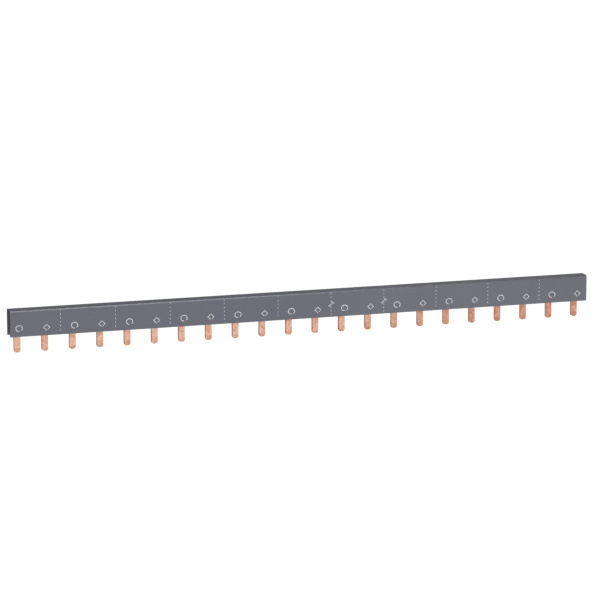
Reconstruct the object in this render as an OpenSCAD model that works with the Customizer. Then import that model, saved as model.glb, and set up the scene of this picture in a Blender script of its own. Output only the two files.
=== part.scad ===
// Two-pole comb busbar: an extruded insulating profile, open along its underside, that holds
// two stamped copper combs one behind the other. The teeth of the front comb are cranked back
// under the partition, so that all the teeth stand in one row and the poles alternate along it.
//
// X runs along the bar, -Y is the printed front and +Z is up, away from the teeth. The origin is
// in the middle of the tooth row, on the plane of the profile's underside.

/* [Layout] */
// Number of two-pole device widths along the bar: each takes one tooth of either pole
pairs = 11; // [2:1:28]
// Width of one module, which is the distance from tooth to tooth
module_w = 18; // [17.5:0.1:18.5]
// Profile beyond the centre line of the first tooth
margin_left = 5.7; // [5:0.1:9]
// Profile beyond the centre line of the last tooth
margin_right = 6.6; // [5:0.1:9]

/* [Insulating profile] */
// Depth from the printed front to the back
profile_d = 9; // [8.6:0.1:11]
// Height from the underside to the top
profile_h = 17.2; // [16.5:0.1:20]
// Thickness of the front and back walls
wall_t = 1.1; // [0.8:0.1:1.3]
// Thickness of the top wall
top_t = 1.2; // [1:0.1:1.5]
// Thickness of the partition between the two combs
partition_t = 1.2; // [1:0.1:1.4]
// Radius of the two long edges along the top
edge_r = 1.4; // [0.5:0.1:1.5]

/* [Copper combs] */
// Thickness of the copper sheet
copper_t = 2; // [1.5:0.1:2]
// Height of the strip that joins a comb's teeth
strip_h = 8; // [6:0.1:8]
// Width of a tooth
tooth_w = 4.2; // [3.6:0.1:5]
// Length of a tooth below the profile's underside
tooth_l = 11.2; // [9:0.1:14]
// Radius of the two corners of a tooth's tip
tip_r = 1.6; // [0.5:0.1:1.7]
// Distance from the ends of the profile to the ends of the strips
strip_inset = 2; // [1:0.1:2]

/* [Hidden] */
$fn = 64;

teeth = 2 * pairs;
row_l = (teeth - 1) * module_w;
x_left = -row_l / 2 - margin_left;
x_right = row_l / 2 + margin_right;
bar_l = x_right - x_left;

// the section, front to back: wall, front chamber, partition, rear chamber, wall
chamber_w = (profile_d - 2 * wall_t - partition_t) / 2;
comb_gap = chamber_w + partition_t;      // from one comb's middle plane to the other's
y_front = -(wall_t + chamber_w * 1.5 + partition_t);
y_back = y_front + profile_d;
y_front_comb = -comb_gap;                // the rear comb's middle plane is Y = 0
chamber_top = profile_h - top_t;
rib_h = 1;                               // guide ribs, which grip a strip from both sides
rib_proud = (chamber_w - copper_t) / 2;
rib_low = chamber_top - 7.4;
rib_high = chamber_top - 2.4;
foot_r = 0.3;                            // radius of the two long outer edges along the underside

// a comb: the strip stands 0.4 under the top wall
strip_top = chamber_top - 0.4;
strip_low = strip_top - strip_h;
root_r = 0.8;                            // fillet between a tooth and the strip

// the crank of a front tooth: two 45 degree bends on a middle radius of one sheet thickness
bend_r = copper_t;
bend_a = 45;
ramp_l = (comb_gap - 2 * bend_r * (1 - cos(bend_a))) / sin(bend_a);
crank_h = 2 * bend_r * sin(bend_a) + ramp_l * cos(bend_a);
crank_low = 0.4;                         // where the straight lower part of a cranked tooth begins
crank_top = crank_low + crank_h;

// the partition ends above the cranks, with a round lower edge
partition_low = crank_low + crank_h / 2 + 3.3;

function tooth_x(i) = -row_l / 2 + i * module_w;

// rectangle from one corner to the opposite one
module span(x0, z0, x1, z1) {
    translate([x0, z0]) square([x1 - x0, z1 - z0]);
}

// 2D outline of a tooth in the plane of the sheet, from its tip up to z_top
module tooth_outline(x, z_top) {
    h = tooth_w / 2;
    span(x - h, -tooth_l + tip_r, x + h, z_top);
    span(x - h + tip_r, -tooth_l, x + h - tip_r, z_top);
    for (s = [-1, 1])
        translate([x + s * (h - tip_r), -tooth_l + tip_r]) circle(r = tip_r);
}

// 2D fillets in the two corners between a tooth and the strip's lower edge
module root_fillets(x) {
    for (s = [-1, 1])
        translate([x + s * (tooth_w / 2), strip_low - root_r])
            difference() {
                span(min(0, s * root_r) - (s > 0 ? 0.4 : 0), 0,
                     max(0, s * root_r) + (s > 0 ? 0 : 0.4), root_r + 0.4);
                translate([s * root_r, 0]) circle(r = root_r);
            }
}

// a plate of sheet copper in the XZ plane, centred on the plane Y = y
module sheet(y) {
    translate([0, y + copper_t / 2, 0]) rotate([90, 0, 0])
        linear_extrude(height = copper_t) children();
}

// 2D sector of one bend in the side view, centred on its own bend axis
module bend_sector(a0, a1) {
    ro = bend_r + copper_t / 2;
    far = 3 * ro;
    intersection() {
        difference() {
            circle(r = ro);
            circle(r = bend_r - copper_t / 2);
        }
        polygon([[0, 0], [far * cos(a0), far * sin(a0)],
                 [far * cos((a0 + a1) / 2), far * sin((a0 + a1) / 2)],
                 [far * cos(a1), far * sin(a1)]]);
    }
}

// 2D side view (Y across, Z up) of a cranked tooth, from below its crank up to the strip
module crank_side() {
    t = copper_t / 2;
    // upper straight
    span(y_front_comb - t, crank_top, y_front_comb + t, strip_low + 1);
    // upper bend, whose axis lies towards the back
    translate([y_front_comb + bend_r, crank_top]) bend_sector(180, 180 + bend_a);
    // ramp, with a short tongue into each bend
    translate([y_front_comb + bend_r * (1 - cos(bend_a)), crank_top - bend_r * sin(bend_a)])
        rotate(bend_a - 90)
            polygon([[0, -t], [ramp_l, -t], [ramp_l + t / 2, 0], [ramp_l, t], [0, t], [-t / 2, 0]]);
    // lower bend, whose axis lies towards the front
    translate([-bend_r, crank_low]) bend_sector(0, bend_a);
    // lower straight
    span(-t, -tooth_l, t, crank_low);
}

module insulating_profile() {
    color([0.43, 0.43, 0.46])
    translate([x_left, 0, 0]) rotate([90, 0, 90])
    linear_extrude(height = bar_l) {
        difference() {
            // the outside, with its four rounded long edges
            union() {
                span(y_front, foot_r, y_back, profile_h - edge_r);
                span(y_front + foot_r, 0, y_back - foot_r, profile_h - edge_r);
                span(y_front + edge_r, foot_r, y_back - edge_r, profile_h);
                for (y = [y_front + edge_r, y_back - edge_r])
                    translate([y, profile_h - edge_r]) circle(r = edge_r);
                for (y = [y_front + foot_r, y_back - foot_r])
                    translate([y, foot_r]) circle(r = foot_r);
            }
            // the chambers of the two combs
            for (y = [y_front_comb, 0])
                span(y - chamber_w / 2, partition_low, y + chamber_w / 2, chamber_top);
            // the open channel under the partition
            span(y_front + wall_t, -1, y_back - wall_t, partition_low);
            // lead-in chamfers inside the two lower edges
            polygon([[y_front + wall_t - 0.4, -0.01], [y_front + wall_t + 0.1, -0.01],
                     [y_front + wall_t + 0.1, 0.9], [y_front + wall_t, 0.8]]);
            polygon([[y_back - wall_t + 0.4, -0.01], [y_back - wall_t - 0.1, -0.01],
                     [y_back - wall_t - 0.1, 0.9], [y_back - wall_t, 0.8]]);
        }
        // the round lower edge of the partition
        translate([-comb_gap / 2, partition_low]) circle(r = partition_t / 2);
        // the guide ribs
        for (y = [y_front_comb, 0], z = [rib_low, rib_high]) {
            span(y - chamber_w / 2 - 0.2, z, y - copper_t / 2, z + rib_h);
            span(y + copper_t / 2, z, y + chamber_w / 2 + 0.2, z + rib_h);
        }
    }
}

// the comb of the first pole: every even tooth, cranked back into the common row
module front_comb() {
    color([0.86, 0.64, 0.52]) {
        // the strip with the short upper ends of its teeth
        sheet(y_front_comb) {
            span(x_left + strip_inset, strip_low, x_right - strip_inset, strip_top);
            for (i = [0 : 2 : teeth - 1]) {
                root_fillets(tooth_x(i));
                span(tooth_x(i) - tooth_w / 2, crank_top, tooth_x(i) + tooth_w / 2, strip_low + 1);
            }
        }
        // the cranked teeth
        for (i = [0 : 2 : teeth - 1])
            intersection() {
                translate([tooth_x(i) - tooth_w / 2 - 1, 0, 0]) rotate([90, 0, 90])
                    linear_extrude(height = tooth_w + 2) crank_side();
                translate([0, y_front_comb - copper_t, 0]) mirror([0, 1, 0]) rotate([90, 0, 0])
                    linear_extrude(height = comb_gap + 2 * copper_t)
                        tooth_outline(tooth_x(i), strip_low + 1);
            }
    }
}

// the comb of the second pole: every odd tooth, straight
module rear_comb() {
    color([0.86, 0.64, 0.52])
    sheet(0) {
        span(x_left + strip_inset, strip_low, x_right - strip_inset, strip_top);
        for (i = [1 : 2 : teeth - 1]) {
            tooth_outline(tooth_x(i), strip_low + 1);
            root_fillets(tooth_x(i));
        }
    }
}

insulating_profile();
front_comb();
rear_comb();
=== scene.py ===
import math

import bmesh
import bpy
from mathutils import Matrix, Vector


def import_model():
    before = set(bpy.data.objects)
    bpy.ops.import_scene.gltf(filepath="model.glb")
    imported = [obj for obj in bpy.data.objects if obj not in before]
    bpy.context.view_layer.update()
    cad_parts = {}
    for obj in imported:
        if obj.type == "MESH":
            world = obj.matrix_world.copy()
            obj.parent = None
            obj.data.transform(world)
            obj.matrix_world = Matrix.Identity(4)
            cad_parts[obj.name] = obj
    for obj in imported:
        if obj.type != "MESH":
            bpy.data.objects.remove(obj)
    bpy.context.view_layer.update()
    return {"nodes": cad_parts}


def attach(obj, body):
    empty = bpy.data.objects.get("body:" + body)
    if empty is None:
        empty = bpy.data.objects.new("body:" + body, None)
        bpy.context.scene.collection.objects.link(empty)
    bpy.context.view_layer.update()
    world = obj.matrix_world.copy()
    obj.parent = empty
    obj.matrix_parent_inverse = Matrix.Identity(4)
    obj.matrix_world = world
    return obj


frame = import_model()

MM = 0.001

# ---------------------------------------------------------------- the bar's layout, in millimetres
MODULE = 18.0
TEETH = 22
FRONT = -6.5                      # Y of the printed front
EDGE_R, EDGE_LOW = 1.4, 15.8      # the rounded edge along the front's top, and the height at which it begins
TOOTH_X = [-(TEETH - 1) * MODULE / 2 + MODULE * i for i in range(TEETH)]
CUT_X = [TOOTH_X[i] + MODULE / 2 for i in range(1, TEETH - 1, 2)]
SCISSOR_CUTS = (5, 6)             # which cut lines carry a pair of scissors
PRINT_LOW, PRINT_HIGH = 0.02, 0.03  # how deep the print sits in the front, and how proud


# ---------------------------------------------------------------- shader helpers
class Shader:
    """A small builder for one material's nodes."""

    def __init__(self, name):
        self.mat = bpy.data.materials.new(name)
        self.mat.use_nodes = True
        self.tree = self.mat.node_tree
        self.tree.nodes.clear()
        self.out = self.tree.nodes.new("ShaderNodeOutputMaterial")
        self.bsdf = self.tree.nodes.new("ShaderNodeBsdfPrincipled")
        self.link(self.bsdf.outputs["BSDF"], self.out.inputs["Surface"])
        self.coord = self.tree.nodes.new("ShaderNodeTexCoord")

    def link(self, a, b):
        self.tree.links.new(a, b)

    def put(self, socket, value):
        if hasattr(value, "is_linked"):
            self.link(value, socket)
        else:
            socket.default_value = value

    def math(self, op, a, b=0.0, c=None, clamp=False):
        n = self.tree.nodes.new("ShaderNodeMath")
        n.operation, n.use_clamp = op, clamp
        self.put(n.inputs[0], a)
        self.put(n.inputs[1], b)
        if c is not None:
            self.put(n.inputs[2], c)
        return n.outputs[0]

    def ramp(self, value, low, high, to_low=0.0, to_high=1.0, smooth=True):
        n = self.tree.nodes.new("ShaderNodeMapRange")
        n.interpolation_type = "SMOOTHSTEP" if smooth else "LINEAR"
        self.put(n.inputs["Value"], value)
        n.inputs["From Min"].default_value, n.inputs["From Max"].default_value = low, high
        n.inputs["To Min"].default_value, n.inputs["To Max"].default_value = to_low, to_high
        return n.outputs["Result"]

    def scaled(self, vector, xyz):
        n = self.tree.nodes.new("ShaderNodeVectorMath")
        n.operation = "MULTIPLY"
        self.link(vector, n.inputs[0])
        n.inputs[1].default_value = xyz
        return n.outputs[0]

    def split(self, vector):
        n = self.tree.nodes.new("ShaderNodeSeparateXYZ")
        self.link(vector, n.inputs[0])
        return n.outputs

    def noise(self, vector, scale, detail=3.0, rough=0.5, distortion=0.0):
        n = self.tree.nodes.new("ShaderNodeTexNoise")
        n.noise_dimensions = "3D"
        self.link(vector, n.inputs["Vector"])
        n.inputs["Scale"].default_value = scale
        n.inputs["Detail"].default_value = detail
        n.inputs["Roughness"].default_value = rough
        n.inputs["Distortion"].default_value = distortion
        return n.outputs["Fac"]

    def mix(self, factor, a, b):
        n = self.tree.nodes.new("ShaderNodeMix")
        n.data_type = "RGBA"
        self.put(n.inputs["Factor"], factor)
        ins = [i for i in n.inputs if i.type == "RGBA"]
        self.put(ins[0], a if hasattr(a, "is_linked") else (*a, 1.0))
        self.put(ins[1], b if hasattr(b, "is_linked") else (*b, 1.0))
        return [o for o in n.outputs if o.type == "RGBA"][0]

    def tint(self, colour, value):
        """colour times a grey value."""
        n = self.tree.nodes.new("ShaderNodeVectorMath")
        n.operation = "SCALE"
        self.link(colour, n.inputs[0])
        self.put(n.inputs["Scale"], value)
        return n.outputs[0]

    def bump(self, height, distance, strength=1.0, under=None):
        n = self.tree.nodes.new("ShaderNodeBump")
        n.inputs["Strength"].default_value = strength
        n.inputs["Distance"].default_value = distance
        self.link(height, n.inputs["Height"])
        if under is not None:
            self.link(under, n.inputs["Normal"])
        return n.outputs["Normal"]


def plastic():
    s = Shader("profile_plastic")
    p, n = s.coord.outputs["Object"], s.split(s.coord.outputs["Normal"])
    # what the die leaves along the extrusion: streaks that run the whole length
    streak = s.noise(s.scaled(p, (6, 900, 900)), 1.0, 4.0, 0.6)
    fine = s.noise(s.scaled(p, (40, 4500, 4500)), 1.0, 2.0, 0.5)
    cloud = s.noise(p, 28.0, 3.0, 0.55)
    grain = s.noise(p, 2600.0, 2.0, 0.6)
    end = s.ramp(s.math("ABSOLUTE", n[0]), 0.75, 0.95)
    saw = s.noise(s.scaled(p, (1, 5200, 700)), 1.0, 3.0, 0.6)
    long_tone = s.math("ADD", s.ramp(streak, 0.3, 0.7, 0.965, 1.03, False), s.ramp(cloud, 0.3, 0.7, -0.02, 0.02, False))
    long_tone = s.math("ADD", long_tone, s.ramp(grain, 0.2, 0.8, -0.025, 0.025, False))
    # painted light along the bar: the plastic is painted darker and bluer on the left and lighter, greyer to the right,
    # for how the light falls on each part
    along = s.ramp(s.split(p)[0], -0.02, 0.07)
    skin = s.tint(s.mix(cloud, s.mix(along, (0.080, 0.080, 0.1047), (0.0912, 0.0914, 0.1120)),
                        s.mix(along, (0.084, 0.084, 0.1087), (0.0950, 0.0953, 0.1160))), long_tone)
    # painted highlight on the rounded edge along the front's top, strongest left of the middle;
    # to the right the same edge is painted darker, painted shade that takes its highlight away
    edge = s.ramp(s.math("MULTIPLY", n[2], s.math("MULTIPLY", n[1], -1.0)), 0.12, 0.42)
    painted_edge_light_and_shade = s.math("MULTIPLY_ADD", s.ramp(s.split(p)[0], -0.17, -0.03), 0.30, s.math("MULTIPLY", along, -0.50))
    skin = s.tint(skin, s.math("MULTIPLY_ADD", edge, painted_edge_light_and_shade, 1.0))
    # on the left part, facing the front: a painted highlight low on the rounding and painted shade on its upper half,
    # which move the edge's light line lower
    low = s.math("MULTIPLY", s.ramp(n[2], 0.02, 0.20), s.ramp(n[2], 0.62, 0.36))
    high = s.math("MULTIPLY", s.ramp(n[2], 0.38, 0.66), -0.36)
    left = s.math("MULTIPLY", s.ramp(n[1], 0.0, -0.25), s.math("SUBTRACT", 1.0, along))
    skin = s.tint(skin, s.math("MULTIPLY_ADD", s.math("MULTIPLY_ADD", low, 0.30, high), left, 1.0))
    # the sawn end faces: saw marks, with their colour painted dark as shade on the ends
    cut = s.tint(s.mix(saw, (0.046, 0.046, 0.052), (0.060, 0.060, 0.068)), s.ramp(grain, 0.25, 0.75, 0.9, 1.1, False))
    s.put(s.bsdf.inputs["Base Color"], s.mix(end, skin, cut))
    rough = s.math("ADD", s.ramp(streak, 0.3, 0.7, 0.31, 0.40, False), s.ramp(grain, 0.2, 0.8, -0.04, 0.05, False))
    s.put(s.bsdf.inputs["Roughness"], s.math("ADD", rough, s.math("MULTIPLY", end, 0.47), clamp=True))
    s.bsdf.inputs["IOR"].default_value = 1.58
    height = s.math("ADD", s.math("MULTIPLY", streak, 0.7), s.math("MULTIPLY", fine, 0.3))
    calm = s.math("MULTIPLY_ADD", edge, -0.75, 1.0)
    skin_n = s.bump(s.math("MULTIPLY", height, calm), 0.000012)
    skin_n = s.bump(s.math("MULTIPLY", grain, calm), 0.000008, 1.0, skin_n)
    cut_n = s.bump(saw, 0.00006, 1.0)
    m = s.tree.nodes.new("ShaderNodeMix")
    m.data_type = "VECTOR"
    s.link(end, m.inputs["Factor"])
    vec = [i for i in m.inputs if i.type == "VECTOR"]
    s.link(skin_n, vec[-2])
    s.link(cut_n, vec[-1])
    s.link([o for o in m.outputs if o.type == "VECTOR"][0], s.bsdf.inputs["Normal"])
    return s.mat


def copper():
    s = Shader("comb_copper")
    p, n = s.coord.outputs["Object"], s.split(s.coord.outputs["Normal"])
    along = s.ramp(s.split(p)[0], 0.0, 0.12)        # painted highlight to the left and painted shade to the right: the copper is paler on the left and darker, deeper in hue to the right
    patch = s.noise(p, 430.0, 3.0, 0.55, 0.6)       # tarnish in patches of one to three millimetres
    other = s.noise(s.scaled(p, (1, 1, -1)), 620.0, 3.0, 0.6, 0.4)
    broad = s.noise(p, 60.0, 2.0, 0.5)
    lines = s.noise(s.scaled(p, (260, 260, 6000)), 1.0, 3.0, 0.6)   # rolling lines, along the sheet
    grain = s.noise(p, 5200.0, 2.0, 0.5)
    side = s.math("MAXIMUM", s.ramp(s.math("ABSOLUTE", n[0]), 0.35, 0.7), s.ramp(s.math("ABSOLUTE", n[2]), 0.35, 0.7))
    tear = s.noise(s.scaled(p, (2600, 350, 2600)), 1.0, 3.0, 0.65)  # what the punch leaves across the thickness
    # painted light along the bar: each copper colour is paler on the left part and darker to the right
    bright = s.mix(along, (0.73, 0.43, 0.33), (0.62, 0.315, 0.23))
    orange = s.mix(along, (0.65, 0.333, 0.205), (0.55, 0.235, 0.145))
    pale = s.mix(along, (0.785, 0.517, 0.402), (0.70, 0.39, 0.295))
    face = s.mix(s.ramp(patch, 0.42, 0.60), bright, orange)
    face = s.mix(s.ramp(other, 0.52, 0.66), face, pale)
    # palest in the middle of a tooth, deeper towards the tip; a little darker towards the profile, painted shade under
    # the profile's front edge
    z = s.split(p)[2]
    deep = s.math("MAXIMUM", s.ramp(z, -0.0070, -0.0112), s.math("MULTIPLY", s.ramp(z, -0.006, -0.001), 0.42))
    face = s.mix(deep, face, s.scaled(face, (0.83, 0.765, 0.71)))
    face = s.tint(face, s.math("ADD", s.ramp(lines, 0.25, 0.75, 0.95, 1.04, False), s.ramp(broad, 0.3, 0.7, -0.04, 0.03, False)))
    # the punched sides: a duller sheared surface, and painted shade: their colour is painted dark, darkest on the left
    # part of the bar
    sheared_and_painted_shade = s.mix(s.ramp(tear, 0.35, 0.65), s.mix(along, (0.205, 0.115, 0.085), (0.45, 0.24, 0.175)),
                    s.mix(along, (0.15, 0.085, 0.064), (0.34, 0.18, 0.13)))
    sheared_and_painted_shade = s.tint(sheared_and_painted_shade, s.ramp(grain, 0.25, 0.75, 0.88, 1.1, False))
    s.put(s.bsdf.inputs["Base Color"], s.mix(side, face, sheared_and_painted_shade))
    s.bsdf.inputs["Metallic"].default_value = 1.0
    rough = s.math("ADD", s.ramp(patch, 0.35, 0.65, 0.34, 0.44, False), s.ramp(lines, 0.25, 0.75, -0.04, 0.05, False))
    s.put(s.bsdf.inputs["Roughness"], s.math("ADD", rough, s.math("MULTIPLY", side, 0.1), clamp=True))
    a = s.bump(s.math("ADD", s.math("MULTIPLY", lines, 0.6), s.math("MULTIPLY", grain, 0.4)), 0.000012)
    a = s.bump(s.math("MULTIPLY", tear, side), 0.00004, 1.0, a)
    a = s.bump(patch, 0.00002, 1.0, a)
    s.link(a, s.bsdf.inputs["Normal"])
    return s.mat


def ink():
    s = Shader("print_ink")
    p = s.coord.outputs["Object"]
    thin = s.noise(p, 1500.0, 3.0, 0.6)
    speck = s.noise(p, 6000.0, 2.0, 0.5)
    tone = s.math("ADD", s.ramp(thin, 0.3, 0.7, 0.95, 1.03, False), s.ramp(speck, 0.3, 0.7, -0.03, 0.03, False))
    s.put(s.bsdf.inputs["Base Color"], s.tint(s.mix(thin, (0.535, 0.535, 0.563), (0.585, 0.585, 0.614)), tone))
    s.put(s.bsdf.inputs["Roughness"], s.ramp(thin, 0.3, 0.7, 0.5, 0.62, False))
    s.link(s.bump(speck, 0.000006), s.bsdf.inputs["Normal"])
    return s.mat


# ---------------------------------------------------------------- CAD nodes: materials and edges
def finish_node(name, mat, width, angle, dissolve):
    o = frame["nodes"][name]
    o.data.materials.clear()
    o.data.materials.append(mat)
    weld = o.modifiers.new("weld", "WELD")
    weld.merge_threshold = 0.000002
    if dissolve:
        flat = o.modifiers.new("flat", "DECIMATE")
        flat.decimate_type = "DISSOLVE"
        flat.angle_limit = math.radians(0.5)
    bevel = o.modifiers.new("bevel", "BEVEL")
    bevel.width = width * MM
    bevel.segments = 2
    bevel.limit_method = "ANGLE"
    bevel.angle_limit = math.radians(angle)
    bevel.miter_outer = "MITER_ARC"
    bevel.harden_normals = False
    smooth = o.modifiers.new("normals", "WEIGHTED_NORMAL")
    smooth.mode = "FACE_AREA"
    smooth.weight = 60
    smooth.keep_sharp = False
    return o


PLASTIC, COPPER, INK = plastic(), copper(), ink()
finish_node("insulating_profile", PLASTIC, 0.12, 40, True)
finish_node("front_comb", COPPER, 0.2, 40, True)
finish_node("rear_comb", COPPER, 0.2, 40, True)


# ---------------------------------------------------------------- the print on the front
def at(x, z, y):
    return Vector((x, y, z)) * MM


def front(z):
    """Y of the front at a height: flat, and curving back where the rounded edge begins."""
    rise = max(z - EDGE_LOW, 0.0)
    return FRONT + EDGE_R - math.sqrt(EDGE_R ** 2 - rise ** 2)


def prism(bm, outline):
    """A thin closed prism on the front, from an outline of (x, z) points that runs counter-clockwise as the front is read."""
    low = [bm.verts.new(at(x, z, front(z) + PRINT_LOW)) for x, z in outline]
    top = [bm.verts.new(at(x, z, front(z) - PRINT_HIGH)) for x, z in outline]
    bm.faces.new(top)
    bm.faces.new(low[::-1])
    for i in range(len(outline)):
        j = (i + 1) % len(outline)
        bm.faces.new((low[i], low[j], top[j], top[i]))


def band(bm, outer, inner, closed):
    """A thin closed band between two lines of as many points, both counter-clockwise."""
    n = len(outer)
    lines = [[bm.verts.new(at(x, z, y)) for x, z in line]
             for y in (FRONT + PRINT_LOW, FRONT - PRINT_HIGH) for line in (outer, inner)]
    ol, il, ot, it = lines
    for i in range(n if closed else n - 1):
        j = (i + 1) % n
        bm.faces.new((ot[i], ot[j], it[j], it[i]))
        bm.faces.new((ol[j], ol[i], il[i], il[j]))
        bm.faces.new((ol[i], ol[j], ot[j], ot[i]))
        bm.faces.new((il[j], il[i], it[i], it[j]))
    if not closed:
        bm.faces.new((ol[0], ot[0], it[0], il[0]))
        bm.faces.new((ot[-1], ol[-1], il[-1], it[-1]))


def mesh_object(name, bm, mat):
    bmesh.ops.recalc_face_normals(bm, faces=bm.faces)
    me = bpy.data.meshes.new(name)
    bm.to_mesh(me)
    bm.free()
    me.materials.append(mat)
    o = bpy.data.objects.new(name, me)
    bpy.context.scene.collection.objects.link(o)
    return o


def ride(o):
    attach(o, "root")
    return o


def ring_points(cx, cz, rx, rz, a0, a1, n):
    turns = [math.radians(a0 + (a1 - a0) * i / (n - 1)) for i in range(n)]
    return [(cx + rx * math.cos(a), cz + rz * math.sin(a)) for a in turns]


def circles():
    bm = bmesh.new()
    for i in range(0, TEETH, 2):
        x, z = TOOTH_X[i] + 0.12, 5.5
        band(bm, ring_points(x, z, 2.32, 2.04, -50, 272, 57), ring_points(x, z, 1.91, 1.63, -50, 272, 57), False)
    return mesh_object("printed_circles", bm, INK)


def diamonds():
    bm = bmesh.new()
    a, b, w = 2.28, 2.10, 0.35
    k = 1 - w * math.hypot(a, b) / (a * b)      # inner diamond as a share of the outer one
    gap0, gap1 = 0.05, 0.30                      # the gap, as shares of the edge from the lower to the right corner
    for i in range(1, TEETH, 2):
        x, z = TOOTH_X[i], 5.23

        def edge(t, s):
            return (x + s * a * t, z - s * b * (1 - t))

        corners = [(a, 0), (0, b), (-a, 0), (0, -b)]
        outer = [edge(gap1, 1)] + [(x + u, z + v) for u, v in corners] + [edge(gap0, 1)]
        inner = [edge(gap1, k)] + [(x + k * u, z + k * v) for u, v in corners] + [edge(gap0, k)]
        band(bm, outer, inner, False)
    return mesh_object("printed_diamonds", bm, INK)


def rounded(cx, cz, w, h, r, n=4):
    pts = []
    for sx, sz, a in ((1, -1, -90), (1, 1, 0), (-1, 1, 90), (-1, -1, 180)):
        pts += ring_points(cx + sx * (w / 2 - r), cz + sz * (h / 2 - r), r, r, a, a + 90, n)
    return pts


def cut_lines():
    bm = bmesh.new()
    for k, x in enumerate(CUT_X):
        if k in SCISSOR_CUTS:      # the fourth dash is shorter, because the scissors' loops come up to it
            dashes = [(1.8, 1.0), (4.2, 1.0), (6.5, 1.0), (11.1, 0.6), (13.1, 1.0), (15.6, 1.0)]
        else:
            dashes = [(z, 1.0) for z in (3.15, 5.65, 8.2, 10.72, 13.22, 15.72)]
        for z, h in dashes:
            prism(bm, rounded(x, z, 0.28, h, 0.08))
    return mesh_object("printed_cut_lines", bm, INK)


def united(name, objects, mat):
    """One closed mesh out of thin closed shapes that overlap."""
    first = objects[0]
    for other in objects[1:]:
        m = first.modifiers.new("join", "BOOLEAN")
        m.operation, m.solver, m.object = "UNION", "EXACT", other
    bpy.context.view_layer.update()
    dg = bpy.context.evaluated_depsgraph_get()
    me = bpy.data.meshes.new_from_object(first.evaluated_get(dg), depsgraph=dg)
    for o in objects:
        old = o.data
        bpy.data.objects.remove(o)
        bpy.data.meshes.remove(old)
    bm = bmesh.new()
    bm.from_mesh(me)
    bmesh.ops.remove_doubles(bm, verts=bm.verts, dist=0.000002)
    bmesh.ops.dissolve_degenerate(bm, edges=bm.edges, dist=0.000002)
    bmesh.ops.triangulate(bm, faces=bm.faces)
    bm.to_mesh(me)
    bm.free()
    me.name = name
    me.materials.clear()
    me.materials.append(mat)
    o = bpy.data.objects.new(name, me)
    bpy.context.scene.collection.objects.link(o)
    return o


def stroke(points):
    """Outline of a line of changing width, from its (x, z, width) points, counter-clockwise."""
    right, left = [], []
    for i, (x, z, w) in enumerate(points):
        x0, z0, _ = points[max(i - 1, 0)]
        x1, z1, _ = points[min(i + 1, len(points) - 1)]
        length = math.hypot(x1 - x0, z1 - z0)
        u, v = (x1 - x0) / length, (z1 - z0) / length
        right.append((x + v * w / 2, z - u * w / 2))
        left.append((x - v * w / 2, z + u * w / 2))
    return right + left[::-1]


def scissors():
    """A plain pair of scissors over a cut line: two blades to the lower left, two finger loops to the upper right."""
    for number, k in enumerate(SCISSOR_CUTS):
        x, z = CUT_X[k], 8.6

        def local(points):
            return [(x + p[0], z + p[1], *p[2:]) for p in points]

        def loop(cu, cv, ru, rv, turn, w):
            t, outer, inner = math.radians(turn), [], []
            for i in range(28):
                a = 2 * math.pi * i / 28
                for line, d in ((outer, 0), (inner, w)):
                    p, q = (ru - d) * math.cos(a), (rv - d) * math.sin(a)
                    line.append((cu + p * math.cos(t) - q * math.sin(t), cv + p * math.sin(t) + q * math.cos(t)))
            return local(outer), local(inner)

        shapes = []
        for part in range(4):
            bm = bmesh.new()
            if part == 0:      # the blade above, and its shank to the loop on the right
                prism(bm, stroke(local([(-2.10, -1.38, 0.06), (-1.65, -1.08, 0.24), (-1.0, -0.70, 0.28), (-0.05, -0.22, 0.22), (0.6, 0.06, 0.16), (1.14, 0.30, 0.16)])))
            elif part == 1:    # the blade below, and its shank to the loop above
                prism(bm, stroke(local([(-1.50, -2.06, 0.06), (-1.14, -1.62, 0.24), (-0.64, -1.06, 0.28), (-0.02, -0.34, 0.22), (0.28, 0.20, 0.16), (0.42, 0.70, 0.16)])))
            elif part == 2:
                band(bm, *loop(0.58, 1.24, 0.60, 0.47, 75, 0.20), True)
            else:
                band(bm, *loop(1.58, 0.58, 0.58, 0.46, 35, 0.20), True)
            shapes.append(mesh_object(f"scissors_part_{number}_{part}", bm, INK))
        ride(united(f"printed_scissors_{number + 1}", shapes, INK))


for piece in (circles(), diamonds(), cut_lines()):
    ride(piece)
scissors()


# ---------------------------------------------------------------- stage, light, camera
def floor():
    bm = bmesh.new()
    bmesh.ops.create_grid(bm, x_segments=8, y_segments=8, size=4.0)
    me = bpy.data.meshes.new("floor")
    bm.to_mesh(me)
    bm.free()
    o = bpy.data.objects.new("floor", me)
    o.location = (0, 0, -0.27)
    bpy.context.scene.collection.objects.link(o)
    s = Shader("floor_white")
    s.bsdf.inputs["Base Color"].default_value = (0.12, 0.12, 0.12, 1)
    s.bsdf.inputs["Roughness"].default_value = 1.0
    s.bsdf.inputs["Specular IOR Level"].default_value = 0.0
    s.bsdf.inputs["Emission Color"].default_value = (1, 1, 1, 1)
    s.bsdf.inputs["Emission Strength"].default_value = 1.0
    s.tree.nodes.remove(s.coord)
    me.materials.append(s.mat)
    return o


def area(name, where, towards, size, power, colour=(1, 1, 1)):
    data = bpy.data.lights.new(name, "AREA")
    data.shape = "RECTANGLE"
    data.size, data.size_y = size
    data.energy = power
    data.color = colour
    o = bpy.data.objects.new(name, data)
    o.location = where
    o.rotation_mode = "QUATERNION"
    o.rotation_quaternion = (Vector(towards) - Vector(where)).to_track_quat("-Z", "Y")
    bpy.context.scene.collection.objects.link(o)
    return o


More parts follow.
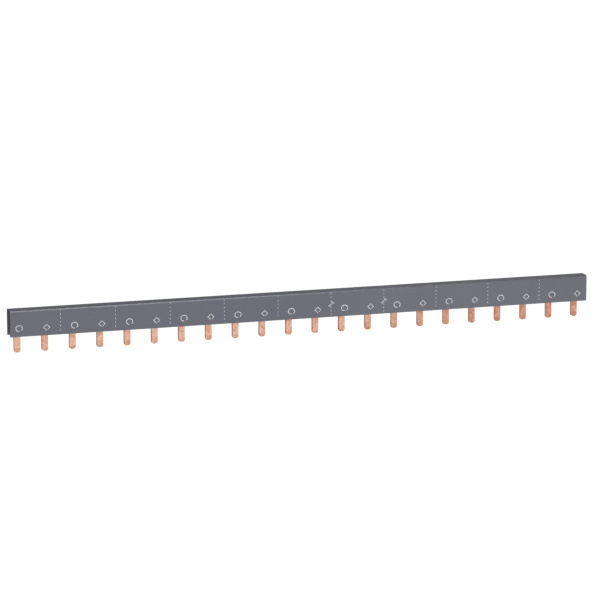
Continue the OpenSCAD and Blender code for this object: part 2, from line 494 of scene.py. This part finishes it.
def world():
    w = bpy.data.worlds.new("studio")
    w.use_nodes = True
    t = w.node_tree
    t.nodes.clear()
    out = t.nodes.new("ShaderNodeOutputWorld")
    dim, white = t.nodes.new("ShaderNodeBackground"), t.nodes.new("ShaderNodeBackground")
    pick, path = t.nodes.new("ShaderNodeMixShader"), t.nodes.new("ShaderNodeLightPath")
    dim.inputs["Color"].default_value = (1, 1, 1, 1)
    where, part = t.nodes.new("ShaderNodeTexCoord"), t.nodes.new("ShaderNodeSeparateXYZ")
    fade = t.nodes.new("ShaderNodeMapRange")
    fade.interpolation_type = "SMOOTHSTEP"
    for socket, value in (("From Min", -0.9), ("From Max", 0.5), ("To Min", 0.42), ("To Max", 0.25)):
        fade.inputs[socket].default_value = value
    t.links.new(where.outputs["Generated"], part.inputs[0])
    t.links.new(part.outputs["Y"], fade.inputs["Value"])
    t.links.new(fade.outputs["Result"], dim.inputs["Strength"])
    white.inputs["Color"].default_value = (1, 1, 1, 1)
    white.inputs["Strength"].default_value = 1.2
    t.links.new(path.outputs["Is Camera Ray"], pick.inputs[0])
    t.links.new(dim.outputs[0], pick.inputs[1])
    t.links.new(white.outputs[0], pick.inputs[2])
    t.links.new(pick.outputs[0], out.inputs["Surface"])
    bpy.context.scene.world = w


def camera():
    data = bpy.data.cameras.new("photo_camera")
    data.sensor_width = 36.0
    data.lens = 36.0 * 3607.0 / 600.0
    data.clip_start, data.clip_end = 0.05, 30.0
    o = bpy.data.objects.new("photo_camera", data)
    yaw, pitch, distance = math.radians(17.208), math.radians(11.716), 2.336
    back = Vector((-math.sin(yaw) * math.cos(pitch), -math.cos(yaw) * math.cos(pitch), math.sin(pitch)))
    o.location = Vector((-0.001735, -0.002, 0.011588)) + back * distance
    o.rotation_mode = "QUATERNION"
    o.rotation_quaternion = (-back).to_track_quat("-Z", "Y")
    bpy.context.scene.collection.objects.link(o)
    bpy.context.scene.camera = o


floor()
world()
area("front_box", (0.3, -3.0, 0.30), (0, 0, 0), (2.2, 1.1), 7)
area("key_box", (0.0, -1.06, 1.42), (0.0, 0.0, 0.0), (0.6, 1.0), 27)
camera()
bpy.context.scene.view_settings.view_transform = "Standard"
bpy.context.scene.view_settings.look = "None"
